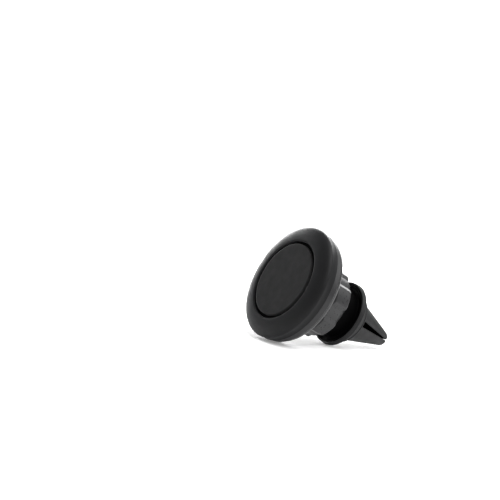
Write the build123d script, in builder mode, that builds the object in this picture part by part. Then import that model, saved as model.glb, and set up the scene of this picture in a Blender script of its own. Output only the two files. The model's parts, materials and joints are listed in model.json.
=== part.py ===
from build123d import *
import os
from math import asin, atan2, cos, degrees, hypot, radians, sin, sqrt

# Magnetic phone mount for a car's air vent, lying on its side on a table.
#
# A round magnet head swivels on a ball stud. The ball sits in the socket of the clip's base, where a
# ribbed nut presses a clamp ring against it. Four soft-covered prongs behind the round flange grip
# the blade of the vent.
#
# Every piece is placed along one axis, which runs from the middle of the head's face to the prong
# tips. A section is drawn as (s, r): s is the distance behind the face, r the radius from the axis.
# The frame is +Z up, with the table at Z = 0. All sizes are in millimetres and all angles in degrees.

os.makedirs("parts", exist_ok=True)

# ---- fits ---------------------------------------------------------------------------------------
skin_gap = 0.05             # soft skins and glued plates on what carries them
slip = 0.05                 # ball, seat and swivel, each on what it runs in
thread_gap = 0.08           # nut on the barrel: plain cylinders stand for the thread
screw_gap = 0.05            # screws in their holes
part_gap = 0.3              # pieces that pass each other without touching

# ---- head: soft cover and pad -------------------------------------------------------------------
pad_radius = 14.7
pad_thickness = 0.95
pad_edge_round = 0.15
groove_width = 0.35         # shadow groove between the pad and the cover
head_radius = 21.9
crown_depth = 2.9           # how far behind the face the cover is widest
cover_depth = 5.8
cover_lip_step = 0.15       # the cover's rear lip is this much slimmer than its crown
cover_waist = 0.2           # how far the side wall draws in between its crown and its lip
cover_front_wall = 1.0
cover_side_wall = 1.2

# ---- head: magnet tray --------------------------------------------------------------------------
tray_floor = 0.9
tray_wall = 1.6
magnet_count = 6
magnet_thickness = 2.5
magnet_space = 0.8          # between neighbouring magnets
magnet_edge = 0.5           # magnets inside the yoke plate's rim
yoke_clear = 0.65           # yoke plate inside the screw bosses
yoke_thickness = 1.0

# ---- head: screws that hold the tray to the rear shell ------------------------------------------
head_screw_count = 3
head_screw_radius = 0.9
head_screw_cap_radius = 1.5
head_screw_cap = 1.0
head_screw_sink = 0.7       # top of the screw's cap below the tray's face
head_screw_grip = 2.6       # thread length in the rear shell
boss_radius = 1.9
boss_merge = 0.2            # the bosses run this far into the tray's wall

# ---- head: bezel ring and rear shell ------------------------------------------------------------
bezel_width = 2.2
bezel_step = 0.4            # the bezel's front edge inside the cover's widest line
bezel_taper = 0.3
bezel_edge_round = 0.25
bezel_wall = 1.3
seam = 0.1                  # visible line between the cover, the bezel and the rear shell
parting_gap = 0.25          # tray and rear shell, inside the bezel
dome_step = 0.5             # the rear shell is this much slimmer than the bezel
dome_depth = 2.25
dome_rise = 2.4
shell_wall = 1.4
spigot_wall = 1.2
recess_lip = 0.8            # ridge of the dome to the mouth of the recess that the nut swings into
recess_run = 2.8            # radius lost from the recess's mouth to its floor

# ---- ball stud and its swivel -------------------------------------------------------------------
stud_screw_radius = 1.45
stud_screw_length = 6.0
stud_screw_cap_radius = 2.6
stud_screw_cap = 1.7
stud_screw_room = 0.4       # air between the screw's cap and the yoke plate
washer_radius = 4.4
washer_thickness = 0.5
spigot_radius = 2.6
shoulder_radius = 4.2
shoulder_thickness = 1.0
neck_radius = 3.1
neck_length = 9.5           # rear shell to the middle of the ball
ball_radius = 6.5
seat_wall = 1.4
seat_edge_angle = 75        # edge of the seat, from the axis behind the ball
seat_hole_angle = 20        # hole in the middle of the seat

# ---- lock nut and clamp ring --------------------------------------------------------------------
nut_reach = 4.4             # front of the nut ahead of the ball's middle
nut_length = 7.4
nut_wall = 2.2              # between the ribs, outside the thread
rib_height = 0.9
rib_count = 6
rib_top_angle = 27
rib_foot_angle = 36
nut_roll = 14               # first rib, from straight up towards +X
nut_front_bevel = 1.1
nut_rear_round = 0.7
nut_lip = 1.1
nut_mouth_radius = 7.4
ring_side_gap = 1.2         # clamp ring inside the nut's thread
ring_thickness = 1.75
ring_travel = 0.75          # half a turn of the nut's 1.5 mm thread

# ---- clip base ----------------------------------------------------------------------------------
barrel_wall = 2.4           # outside the seat's pocket
barrel_clear = 0.5          # barrel's end behind the tight clamp ring
barrel_bevel = 0.3
thread_run_out = 0.9        # thread left bare behind the tight nut
neck_down = 0.8             # the barrel behind the thread is this much slimmer
pocket_floor = 1.9          # bottom of the seat's pocket to the flange's front
flange_step = 2.3           # the flange outside the slim part of the barrel
flange_thickness = 1.2
dish_depth = 0.5
dish_edge = 0.5
base_boss_radius = 3.6
base_boss_length = 1.4

# ---- flange boot --------------------------------------------------------------------------------
rim_wall = 0.85             # the boot's rim outside the flange
rim_taper = 0.1
rim_lip = 0.2               # the boot's front edge stands ahead of the flange
rim_rear_wall = 0.45
rim_round = 0.3
flare_length = 1.8          # the rim draws in to the collar over this length
flare_draw = 0.55           # how far the flare is hollowed
bead_length = 0.7           # bead round the collar's rear edge
bead_height = 0.25
collar_step = 1.27          # the collar starts this far inside the flange's edge
collar_length = 4.3
collar_taper = 1.5          # the collar's rear is this much slimmer than its front
collar_wall = 1.9

# ---- prongs -------------------------------------------------------------------------------------
prong_count = 4
prong_roll = 45.5           # first prong, from straight up towards +X
prong_gap = 0.5             # collar to prong
prong_step = 0.75           # the prongs start this far inside the collar's rear
prong_length = 18.6
prong_tip_radius = 2.7
prong_tip_round = 1.1
slot_root_width = 2.2
slot_tip_width = 0.55
hinge_edge = 2.7            # prong hinges inside the hub's edge
hinge_barrel = 1.3
hinge_width = 4.6
hinge_side_gap = 0.3
hinge_mouth = 2.2
hinge_back = 1.5            # hinges ahead of the collar's end
hub_gap = 0.15              # hub inside the boot's collar
hub_end = 0.3               # hub's end ahead of the collar's end
core_root = 1.6
core_tip = 0.9
core_tip_width = 1.2
core_tip_radius = 2.1
core_short = 1.8            # core's end ahead of the prong's tip
clip_screw_radius = 1.25
clip_screw_cap_radius = 2.4
clip_screw_cap = 1.6
clip_screw_floor = 1.0      # of the hub, under the screw's cap
clip_screw_grip = 3.0

# ---- radii that follow --------------------------------------------------------------------------
crown_centre_radius = pad_radius + groove_width
crown_rise = head_radius - crown_centre_radius
cover_lip_radius = head_radius - cover_lip_step
tray_crown_rise = crown_rise - cover_side_wall - skin_gap
tray_radius = crown_centre_radius + tray_crown_rise
head_screw_circle = tray_radius - tray_wall - boss_radius + boss_merge
yoke_radius = head_screw_circle - boss_radius - yoke_clear
magnet_spread = sin(radians(180 / magnet_count))
magnet_circle = (yoke_radius - magnet_edge + magnet_space / 2) / (1 + magnet_spread)
magnet_radius = magnet_circle * magnet_spread - magnet_space / 2
bezel_front_radius = head_radius - bezel_step
bezel_rear_radius = bezel_front_radius - bezel_taper
bezel_inside = bezel_rear_radius - bezel_wall
shell_radius = bezel_rear_radius - dome_step
dome_centre_radius = shell_radius - dome_rise
recess_mouth_radius = dome_centre_radius - recess_lip
recess_radius = recess_mouth_radius - recess_run
seat_inside = ball_radius + slip
seat_outside = seat_inside + seat_wall
pocket_radius = seat_outside + slip
barrel_radius = pocket_radius + barrel_wall
relief_radius = barrel_radius - neck_down
thread_bore = barrel_radius + thread_gap
ring_radius = thread_bore - ring_side_gap
nut_radius = thread_bore + nut_wall
rib_radius = nut_radius + rib_height
flange_radius = relief_radius + flange_step
rim_front_radius = flange_radius + skin_gap + rim_wall
rim_rear_radius = rim_front_radius - rim_taper
collar_radius = flange_radius - collar_step
collar_inside = collar_radius - collar_wall
prong_root_radius = collar_radius - collar_taper - prong_step
hub_radius = collar_inside - hub_gap
hinge_radius = hub_radius - hinge_edge

# ---- places along the axis ----------------------------------------------------------------------
tray_front = pad_thickness + skin_gap
magnet_front = tray_front + tray_floor
yoke_front = magnet_front + magnet_thickness + skin_gap
yoke_rear = yoke_front + yoke_thickness
bezel_front = cover_depth + seam
bezel_rear = bezel_front + bezel_width
dome_front = bezel_rear + seam
parting = bezel_front + parting_gap
stud_cap_front = yoke_rear + stud_screw_room
washer_front = stud_cap_front + stud_screw_cap
washer_rear = washer_front + washer_thickness
shell_inside = washer_rear + slip
shell_outside = shell_inside + shell_wall
shoulder_front = shell_outside + slip
ball_middle = shell_outside + neck_length
nut_front = ball_middle - nut_reach
nut_rear = nut_front + nut_length
ring_front = nut_front + nut_lip + skin_gap
ring_rear = ring_front + ring_thickness
barrel_front = ring_rear + barrel_clear
thread_end = nut_rear + thread_run_out
flange_front = ball_middle + pocket_radius + pocket_floor
flange_rear = flange_front + flange_thickness
rim_front = flange_front - rim_lip
collar_front = flange_rear + skin_gap + rim_rear_wall
collar_rear = collar_front + collar_length
prong_front = collar_rear + prong_gap
prong_tip = prong_front + prong_length
hinge_middle = collar_rear - hinge_back
hub_front = flange_rear + skin_gap
hub_rear = collar_rear - hub_end
clip_cap_front = hub_front + base_boss_length + skin_gap + clip_screw_floor
core_end = prong_tip - core_short

# ---- how the mount lies on the table ------------------------------------------------------------
# It rests on two circles: an outer edge of the head and an outer edge of the flange. An edge is an
# ellipse in the section, (s, r, half width along s, half width along r).
bezel_rounding = (bezel_edge_round, bezel_edge_round)
rim_rounding = (rim_round, rim_round)
head_edges = [
    (bezel_front + bezel_edge_round, bezel_front_radius - bezel_edge_round, *bezel_rounding),
    (bezel_rear - bezel_edge_round, bezel_rear_radius - bezel_edge_round, *bezel_rounding),
    (dome_front, dome_centre_radius, dome_depth, dome_rise),
]
flange_edges = [
    (rim_front + rim_round, rim_front_radius - rim_round, *rim_rounding),
    (collar_front - rim_round, rim_rear_radius - rim_round, *rim_rounding),
]


def reach(edge, slope):
    """How far an edge stands out from the axis, at right angles to a table at this slope to it."""
    s, r, half_s, half_r = edge
    return s * sin(slope) + r * cos(slope) + hypot(half_s * sin(slope), half_r * cos(slope))


def lying_slope():
    """Angle between the axis and the table, in radians, where head and flange reach equally far."""
    low, high = 0.0, radians(80)
    while high - low > 1e-9:
        slope = (low + high) / 2
        if max(reach(edge, slope) for edge in head_edges) > max(reach(edge, slope) for edge in flange_edges):
            low = slope
        else:
            high = slope
    return low


slope = lying_slope()
axis_way = Vector(0, cos(slope), -sin(slope))
up_way = Vector(0, sin(slope), cos(slope))
face_height = max(reach(edge, slope) for edge in head_edges)
tip_ring_radius = prong_tip_radius - prong_tip_round
lowest_y = (
    crown_depth * cos(slope)
    - crown_centre_radius * sin(slope)
    - hypot(crown_depth * cos(slope), crown_rise * sin(slope))
)
highest_y = (prong_tip - prong_tip_round) * cos(slope) + tip_ring_radius * sin(slope) + prong_tip_round
face_middle = Vector(0, -(lowest_y + highest_y) / 2, face_height)

mount_axis = Axis(face_middle, axis_way)
section = Plane(origin=face_middle, x_dir=axis_way, z_dir=(1, 0, 0))


def across(s):
    """Plane square to the axis, s behind the face: x points to -X, y points up."""
    return Plane(origin=face_middle + axis_way * s, x_dir=(-1, 0, 0), z_dir=axis_way)


def outward(roll):
    """Unit vector away from the axis, at this roll from straight up towards +X."""
    return up_way * cos(radians(roll)) + Vector(1, 0, 0) * sin(radians(roll))


def hinge_plane(roll):
    """Plane through the axis and one prong: x runs back along the axis, y away from it."""
    return Plane(origin=face_middle, x_dir=axis_way, z_dir=outward(roll).cross(axis_way) * -1)


def on_ball(radius, angle):
    """Section point on a sphere about the ball's middle, at this angle from the axis behind it."""
    return (ball_middle + radius * cos(radians(angle)), radius * sin(radians(angle)))


def crown(depth, rise):
    """Quarter ellipse in the head's section, from the crown's widest place to its front."""
    return EllipticalCenterArc((crown_depth, crown_centre_radius), depth, rise, start_angle=90, arc_size=90)


def dome(depth, rise):
    """Quarter ellipse in the head's section, from the rear shell's ridge to its front."""
    return EllipticalCenterArc((dome_front, dome_centre_radius), depth, rise, start_angle=0, arc_size=90)


# ==== head =======================================================================================
with BuildPart() as face_pad:
    with BuildSketch(section):
        with BuildLine():
            Polyline((0, 0), (pad_thickness, 0), (pad_thickness, pad_radius), (pad_edge_round, pad_radius))
            RadiusArc((pad_edge_round, pad_radius), (0, pad_radius - pad_edge_round), pad_edge_round)
            Line((0, pad_radius - pad_edge_round), (0, 0))
        make_face()
    revolve(axis=mount_axis)

# The tray's front and the inside of the cover are one surface, skin_gap apart.
tray_crown_depth = crown_depth - cover_front_wall - skin_gap
inner_crown_depth = tray_crown_depth + skin_gap
inner_crown_rise = tray_crown_rise + skin_gap
inner_cover_radius = tray_radius + skin_gap

with BuildPart() as soft_cover:
    with BuildSketch(section):
        with BuildLine():
            crown(crown_depth, crown_rise)
            Line((0, crown_centre_radius), (crown_depth - inner_crown_depth, crown_centre_radius))
            crown(inner_crown_depth, inner_crown_rise)
            Polyline(
                (crown_depth, inner_cover_radius),
                (cover_depth, inner_cover_radius),
                (cover_depth, cover_lip_radius),
            )
            ThreePointArc(
                (cover_depth, cover_lip_radius),
                ((cover_depth + crown_depth) / 2, (head_radius + cover_lip_radius) / 2 - cover_waist),
                (crown_depth, head_radius),
            )
        make_face()
    revolve(axis=mount_axis)

with BuildPart() as magnet_tray:
    with BuildSketch(section):
        with BuildLine():
            Polyline(
                (crown_depth - tray_crown_depth, crown_centre_radius),
                (tray_front, crown_centre_radius),
                (tray_front, 0),
                (magnet_front + magnet_thickness, 0),
                (magnet_front + magnet_thickness, yoke_radius + skin_gap),
                (magnet_front, yoke_radius + skin_gap),
                (magnet_front, tray_radius - tray_wall),
                (bezel_front, tray_radius - tray_wall),
                (bezel_front, tray_radius),
                (crown_depth, tray_radius),
            )
            crown(tray_crown_depth, tray_crown_rise)
        make_face()
    revolve(axis=mount_axis)
    with BuildSketch(across(magnet_front)):
        with PolarLocations(head_screw_circle, head_screw_count, start_angle=90):
            Circle(boss_radius)
    extrude(amount=parting - magnet_front)
    with BuildSketch(across(magnet_front)):
        with PolarLocations(magnet_circle, magnet_count):
            Circle(magnet_radius + skin_gap)
    extrude(amount=magnet_thickness, mode=Mode.SUBTRACT)
    with BuildSketch(across(0)):
        with PolarLocations(head_screw_circle, head_screw_count, start_angle=90):
            Circle(head_screw_radius + screw_gap)
    extrude(amount=parting, mode=Mode.SUBTRACT)
    with BuildSketch(across(0)):
        with PolarLocations(head_screw_circle, head_screw_count, start_angle=90):
            Circle(head_screw_cap_radius + screw_gap)
    extrude(amount=tray_front + head_screw_sink + head_screw_cap, mode=Mode.SUBTRACT)

magnets = []
for number in range(magnet_count):
    with BuildPart() as magnet:
        with BuildSketch(across(magnet_front)):
            with PolarLocations(magnet_circle, 1, start_angle=number * 360 / magnet_count):
                Circle(magnet_radius)
        extrude(amount=magnet_thickness)
    magnets.append(magnet)

with BuildPart() as yoke_plate:
    with BuildSketch(across(yoke_front)):
        Circle(yoke_radius)
    extrude(amount=yoke_thickness)

head_screw_top = tray_front + head_screw_sink
with BuildPart() as head_screws:
    with BuildSketch(across(head_screw_top)):
        with PolarLocations(head_screw_circle, head_screw_count, start_angle=90):
            Circle(head_screw_cap_radius)
    extrude(amount=head_screw_cap)
    with BuildSketch(across(head_screw_top)):
        with PolarLocations(head_screw_circle, head_screw_count, start_angle=90):
            Circle(head_screw_radius)
    extrude(amount=parting + head_screw_grip - head_screw_top)

with BuildPart() as bezel_ring:
    with BuildSketch(section):
        with BuildLine():
            Polyline(
                (bezel_front, bezel_inside),
                (bezel_front, bezel_front_radius),
                (bezel_rear, bezel_rear_radius),
                (bezel_rear, bezel_inside),
                close=True,
            )
        bezel_face = make_face()
        fillet(bezel_face.vertices().sort_by(Axis.Y)[-2:], bezel_edge_round)
    revolve(axis=mount_axis)

# The dome's inside is an ellipse too, and the recess behind the head is a cone inside it.
inner_dome_depth = dome_depth - shell_wall
inner_dome_rise = dome_rise - shell_wall
ridge = dome_front + dome_depth
spigot_outside = bezel_inside - skin_gap

with BuildPart() as rear_shell:
    with BuildSketch(section):
        with BuildLine():
            Polyline(
                (ridge, dome_centre_radius),
                (ridge - seam, recess_mouth_radius),
                (shell_outside, recess_radius),
                (shell_outside, spigot_radius + slip),
                (shell_inside, spigot_radius + slip),
                (shell_inside, recess_radius + shell_wall),
                (dome_front + inner_dome_depth, dome_centre_radius),
            )
            dome(inner_dome_depth, inner_dome_rise)
            Polyline(
                (dome_front, dome_centre_radius + inner_dome_rise),
                (dome_front, spigot_outside - spigot_wall),
                (parting, spigot_outside - spigot_wall),
                (parting, spigot_outside),
                (dome_front, spigot_outside),
                (dome_front, shell_radius),
            )
            dome(dome_depth, dome_rise)
        make_face()
    revolve(axis=mount_axis)
    with BuildSketch(across(parting)):
        with PolarLocations(head_screw_circle, head_screw_count, start_angle=90):
            Circle(boss_radius)
    extrude(amount=dome_front + inner_dome_depth - parting)
    with BuildSketch(across(parting)):
        with PolarLocations(head_screw_circle, head_screw_count, start_angle=90):
            Circle(head_screw_radius + screw_gap)
    extrude(amount=head_screw_grip + part_gap, mode=Mode.SUBTRACT)

# ==== swivel and ball ============================================================================
with BuildPart() as ball_stud:
    with BuildSketch(section):
        with BuildLine():
            neck_angle = degrees(asin(neck_radius / ball_radius))
            Polyline(
                on_ball(ball_radius, 180 - neck_angle),
                (shoulder_front + shoulder_thickness, neck_radius),
                (shoulder_front + shoulder_thickness, shoulder_radius),
                (shoulder_front, shoulder_radius),
                (shoulder_front, spigot_radius),
                (washer_rear, spigot_radius),
                (washer_rear, stud_screw_radius + screw_gap),
                (washer_front + stud_screw_length + part_gap, stud_screw_radius + screw_gap),
                (washer_front + stud_screw_length + part_gap, 0),
                on_ball(ball_radius, 0),
            )
            CenterArc((ball_middle, 0), ball_radius, start_angle=0, arc_size=180 - neck_angle)
        make_face()
    revolve(axis=mount_axis)

with BuildPart() as stud_washer:
    with BuildSketch(across(washer_front)):
        Circle(washer_radius)
        Circle(stud_screw_radius + screw_gap, mode=Mode.SUBTRACT)
    extrude(amount=washer_thickness)

with BuildPart() as stud_screw:
    with BuildSketch(across(stud_cap_front)):
        Circle(stud_screw_cap_radius)
    extrude(amount=stud_screw_cap)
    with BuildSketch(across(washer_front)):
        Circle(stud_screw_radius)
    extrude(amount=stud_screw_length)

with BuildPart() as ball_seat:
    with BuildSketch(section):
        with BuildLine():
            CenterArc((ball_middle, 0), seat_inside, seat_hole_angle, seat_edge_angle - seat_hole_angle)
            CenterArc((ball_middle, 0), seat_outside, seat_hole_angle, seat_edge_angle - seat_hole_angle)
            Line(on_ball(seat_inside, seat_hole_angle), on_ball(seat_outside, seat_hole_angle))
            Line(on_ball(seat_inside, seat_edge_angle), on_ball(seat_outside, seat_edge_angle))
        make_face()
    revolve(axis=mount_axis)

# ==== lock nut and clamp ring ====================================================================
with BuildPart() as clamp_ring:
    with BuildSketch(section):
        ring_start = ball_middle - ring_front
        ring_stop = ball_middle - ring_rear
        with BuildLine():
            front_corner = (ring_front, sqrt(seat_inside**2 - ring_start**2))
            rear_corner = (ring_rear, sqrt(seat_inside**2 - ring_stop**2))
            RadiusArc(front_corner, rear_corner, seat_inside)
            Polyline(rear_corner, (ring_rear, ring_radius), (ring_front, ring_radius), front_corner)
        make_face()
    revolve(axis=mount_axis)

with BuildSketch() as rib_outline:
    with BuildLine():
        foot = Vector(nut_radius, 0)
        top = Vector(rib_radius, 0)
        near_foot, far_foot = [foot.rotate(Axis.Z, side * rib_foot_angle / 2) for side in (1, -1)]
        near_top, far_top = [top.rotate(Axis.Z, side * rib_top_angle / 2) for side in (1, -1)]
        ThreePointArc(near_top, top, far_top)
        Polyline(far_top, far_foot, (0, 0), near_foot, near_top)
    make_face()

with BuildPart() as lock_nut:
    with BuildSketch(across(nut_front)):
        Circle(nut_radius)
        with PolarLocations(0, rib_count, start_angle=90 + nut_roll):
            add(rib_outline.sketch)
    extrude(amount=nut_length)
    rounding_start = (nut_rear - nut_rear_round, rib_radius)
    rounding_stop = (nut_rear, rib_radius - nut_rear_round)
    with BuildSketch(section):
        with BuildLine():
            Polyline(
                (nut_front, nut_mouth_radius),
                (nut_front, rib_radius - nut_front_bevel),
                (nut_front + nut_front_bevel, rib_radius),
                rounding_start,
            )
            RadiusArc(rounding_start, rounding_stop, nut_rear_round)
            Polyline(
                rounding_stop,
                (nut_rear, thread_bore),
                (nut_front + nut_lip, thread_bore),
                (nut_front + nut_lip, nut_mouth_radius),
                (nut_front, nut_mouth_radius),
            )
        make_face()
    revolve(axis=mount_axis, mode=Mode.INTERSECT)

# ==== clip: base and boot ========================================================================
dish_floor = flange_front + dish_depth
boss_end = flange_rear + base_boss_length

with BuildPart() as clip_base:
    with BuildSketch(section):
        with BuildLine():
            CenterArc((ball_middle, 0), pocket_radius, start_angle=0, arc_size=90)
            Polyline(
                (ball_middle, pocket_radius),
                (barrel_front, pocket_radius),
                (barrel_front, barrel_radius - barrel_bevel),
                (barrel_front + barrel_bevel, barrel_radius),
                (thread_end, barrel_radius),
                (thread_end + neck_down, relief_radius),
                (dish_floor, relief_radius),
                (dish_floor, flange_radius - dish_edge - dish_depth),
                (flange_front, flange_radius - dish_edge),
                (flange_front, flange_radius),
                (flange_rear, flange_radius),
                (flange_rear, base_boss_radius),
                (boss_end, base_boss_radius),
                (boss_end, 0),
                on_ball(pocket_radius, 0),
            )
        make_face()
    revolve(axis=mount_axis)
    with BuildSketch(across(boss_end)):
        Circle(clip_screw_radius + screw_gap)
    extrude(amount=-clip_screw_grip, mode=Mode.SUBTRACT)


def collar_outside(s):
    """Radius of the collar's cone."""
    return collar_radius - collar_taper * (s - collar_front) / collar_length


def prong_outside(s):
    """Radius of the cone that the prongs share."""
    return prong_root_radius - (prong_root_radius - prong_tip_radius) * (s - prong_front) / prong_length


flare_start = (collar_front, rim_rear_radius - rim_round)
flare_stop = (collar_front + flare_length, collar_outside(collar_front + flare_length))
flare_middle = ((flare_start[0] + flare_stop[0]) / 2, (flare_start[1] + flare_stop[1]) / 2 - flare_draw)
bead_start = collar_rear - bead_length
bead_middle = (collar_rear - bead_length / 2, collar_outside(collar_rear - bead_length / 2) + bead_height)

with BuildPart() as flange_boot:
    with BuildSketch(section):
        with BuildLine():
            Polyline(
                (rim_front, flange_radius + skin_gap),
                (rim_front, rim_front_radius - rim_round),
                (rim_front + rim_round, rim_front_radius),
                (collar_front - rim_round, rim_rear_radius),
                flare_start,
            )
            ThreePointArc(flare_start, flare_middle, flare_stop)
            Line(flare_stop, (bead_start, collar_outside(bead_start)))
            ThreePointArc(
                (bead_start, collar_outside(bead_start)),
                bead_middle,
                (collar_rear, collar_outside(collar_rear)),
            )
            Polyline(
                (collar_rear, collar_outside(collar_rear)),
                (collar_rear, collar_inside),
                (hub_front, collar_inside),
                (hub_front, flange_radius + skin_gap),
                (rim_front, flange_radius + skin_gap),
            )
        make_face()
    revolve(axis=mount_axis)

# ==== clip: hub, screw and prongs ================================================================
prong_rolls = [prong_roll + number * 360 / prong_count for number in range(prong_count)]
seat_width = hinge_width + 2 * hinge_side_gap

with BuildPart() as prong_hub:
    with BuildSketch(across(hub_front)):
        Circle(hub_radius)
        Circle(base_boss_radius + skin_gap, mode=Mode.SUBTRACT)
    extrude(amount=base_boss_length + skin_gap)
    with BuildSketch(across(boss_end + skin_gap)):
        Circle(hub_radius)
        Circle(clip_screw_radius + screw_gap, mode=Mode.SUBTRACT)
    extrude(amount=hub_rear - boss_end - skin_gap)
    with BuildSketch(across(clip_cap_front)):
        Circle(clip_screw_cap_radius + screw_gap)
    extrude(amount=hub_rear - clip_cap_front, mode=Mode.SUBTRACT)
    for roll in prong_rolls:
        with BuildSketch(hinge_plane(roll)):
            with Locations((hinge_middle, hinge_radius)):
                Circle(hinge_barrel + slip)
                Rectangle(hub_rear - hinge_middle, hinge_mouth, align=(Align.MIN, Align.CENTER))
        extrude(amount=seat_width / 2, both=True, mode=Mode.SUBTRACT)

with BuildPart() as clip_screw:
    with BuildSketch(across(clip_cap_front)):
        Circle(clip_screw_cap_radius)
    extrude(amount=clip_screw_cap)
    with BuildSketch(across(clip_cap_front)):
        Circle(clip_screw_radius)
    extrude(amount=-(clip_cap_front - boss_end + clip_screw_grip - part_gap))

# The four prongs start as one cone, which two crossing slots divide.
with BuildPart() as prong_cone:
    with BuildSketch(section):
        with BuildLine():
            tip_start = (prong_tip - prong_tip_round, prong_outside(prong_tip - prong_tip_round))
            tip_stop = (prong_tip, tip_start[1] - prong_tip_round)
            prong_foot = (prong_front, prong_outside(prong_front))
            Polyline(tip_stop, (prong_tip, 0), (prong_front, 0), prong_foot, tip_start)
            RadiusArc(tip_start, tip_stop, prong_tip_round)
        make_face()
    revolve(axis=mount_axis)
    for roll in prong_rolls:
        slot_roll = roll + 180 / prong_count
        with BuildSketch(hinge_plane(slot_roll - 90)):
            with BuildLine():
                Polyline(
                    (prong_front, -slot_root_width / 2),
                    (prong_front, slot_root_width / 2),
                    (prong_tip, slot_tip_width / 2),
                    (prong_tip, -slot_tip_width / 2),
                    close=True,
                )
            make_face()
        extrude(amount=head_radius, mode=Mode.SUBTRACT)

prong_cores = []
prong_boots = []
for roll in prong_rolls:
    with BuildPart() as prong_core:
        with BuildSketch(across(hinge_middle)):
            with PolarLocations(hinge_radius, 1, start_angle=90 + roll):
                Rectangle(core_root, hinge_width)
        with BuildSketch(across(core_end)):
            with PolarLocations(core_tip_radius, 1, start_angle=90 + roll):
                Rectangle(core_tip, core_tip_width)
        loft()
        with BuildSketch(hinge_plane(roll)):
            with Locations((hinge_middle, hinge_radius)):
                Circle(hinge_barrel)
        extrude(amount=hinge_width / 2, both=True)
    prong_cores.append(prong_core)

    prong_side = Axis(face_middle, outward(roll))
    with BuildPart() as prong_boot:
        add(prong_cone.solids().sort_by(prong_side)[-1])
        add(prong_core.part, mode=Mode.SUBTRACT)
    prong_boots.append(prong_boot)

# ==== one STEP file for each piece ===============================================================
pieces = {
    "face_pad": face_pad,
    "soft_cover": soft_cover,
    "magnet_tray": magnet_tray,
    "yoke_plate": yoke_plate,
    "head_screws": head_screws,
    "bezel_ring": bezel_ring,
    "rear_shell": rear_shell,
    "ball_stud": ball_stud,
    "stud_washer": stud_washer,
    "stud_screw": stud_screw,
    "ball_seat": ball_seat,
    "clamp_ring": clamp_ring,
    "lock_nut": lock_nut,
    "clip_base": clip_base,
    "flange_boot": flange_boot,
    "prong_hub": prong_hub,
    "clip_screw": clip_screw,
}
for number, magnet in enumerate(magnets, start=1):
    pieces[f"magnet_{number}"] = magnet
for number, prong_core in enumerate(prong_cores, start=1):
    pieces[f"prong_core_{number}"] = prong_core
for number, prong_boot in enumerate(prong_boots, start=1):
    pieces[f"prong_boot_{number}"] = prong_boot

for name, piece in pieces.items():
    piece.part.label = name
    export_step(piece.part, f"parts/{name}.step")
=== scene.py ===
"""Dresses the packed phone mount: the skin and finish of every piece, the light and the camera."""

import json
from functools import cache, reduce
from math import atan2, ceil, cos, degrees, hypot, inf, pi, radians, sin, sqrt, tan, tau
from typing import NamedTuple

import bmesh
import bpy
from bpy.props import FloatProperty, FloatVectorProperty, IntProperty, PointerProperty
from mathutils import Matrix, Vector


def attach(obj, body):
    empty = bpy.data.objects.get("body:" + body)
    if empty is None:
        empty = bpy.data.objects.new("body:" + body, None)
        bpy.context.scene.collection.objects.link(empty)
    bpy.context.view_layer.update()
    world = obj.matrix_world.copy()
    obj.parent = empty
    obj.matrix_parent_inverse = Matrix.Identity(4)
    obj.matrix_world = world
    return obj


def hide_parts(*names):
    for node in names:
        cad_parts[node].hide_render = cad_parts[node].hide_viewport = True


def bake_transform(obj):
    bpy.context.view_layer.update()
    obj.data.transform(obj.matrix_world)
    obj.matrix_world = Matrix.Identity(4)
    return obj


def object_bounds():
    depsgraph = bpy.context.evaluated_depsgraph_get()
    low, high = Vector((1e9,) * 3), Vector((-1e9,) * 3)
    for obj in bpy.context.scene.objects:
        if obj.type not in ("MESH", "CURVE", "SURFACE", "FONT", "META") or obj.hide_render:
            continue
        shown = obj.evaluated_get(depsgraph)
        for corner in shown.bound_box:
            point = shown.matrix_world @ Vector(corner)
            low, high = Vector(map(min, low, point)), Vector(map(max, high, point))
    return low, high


bl_info = {
    "name": "Vent Phone Mount",
    "version": (1, 0, 0),
    "blender": (4, 5, 0),
    "location": "3D View > Sidebar > Phone Mount",
    "description": "Builds the skins, finishes, light and camera of a magnetic phone mount",
    "category": "Object",
}

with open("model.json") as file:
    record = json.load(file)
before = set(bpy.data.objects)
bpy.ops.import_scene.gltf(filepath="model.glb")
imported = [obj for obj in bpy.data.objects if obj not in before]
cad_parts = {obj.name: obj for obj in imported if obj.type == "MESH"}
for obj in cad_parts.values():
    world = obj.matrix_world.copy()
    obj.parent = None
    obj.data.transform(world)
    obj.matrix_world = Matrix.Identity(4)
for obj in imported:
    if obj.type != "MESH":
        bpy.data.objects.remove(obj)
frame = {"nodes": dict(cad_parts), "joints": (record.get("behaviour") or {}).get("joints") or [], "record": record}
cad_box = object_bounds()

MM = 0.001
TOUCH = 0.02 * MM           # vertices this close together count as one place
WELD = 0.001 * MM           # vertices this close together become one
SKIN = 0.1 * MM             # a thread is cut where the body comes this close to its full radius

# ==== the mount's own frame ======================================================================
# Every piece is drawn about the mount's axis: x to the left of someone who faces the phone, y up,
# and z, called s, back from the middle of the phone face. A section is drawn as (s, radius).

mounts = {mount["name"]: mount for mount in frame["record"]["mounts"]}
joints = {joint["name"]: joint for joint in frame["joints"]}
back_way = -Vector(mounts["phone_face"]["axis"])
side_way = Vector((-1, 0, 0))
up_way = back_way.cross(side_way)
lying = Matrix((side_way, up_way, back_way)).transposed().to_4x4()
lying.translation = mounts["phone_face"]["pos_m"]


@cache
def rings(node):
    """(s, radius) of every vertex of a CAD node."""
    upright = lying.inverted()
    places = [upright @ vertex.co for vertex in frame["nodes"][node].data.vertices]
    return [(place.z, hypot(place.x, place.y)) for place in places]


def span(node, inner=0.0, outer=inf, start=-inf, stop=inf):
    """Front and rear, along the axis, of what a CAD node has between two radii and two distances."""
    along = [s for s, r in rings(node) if inner - TOUCH < r < outer + TOUCH and start <= s <= stop]
    return min(along), max(along)


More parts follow.
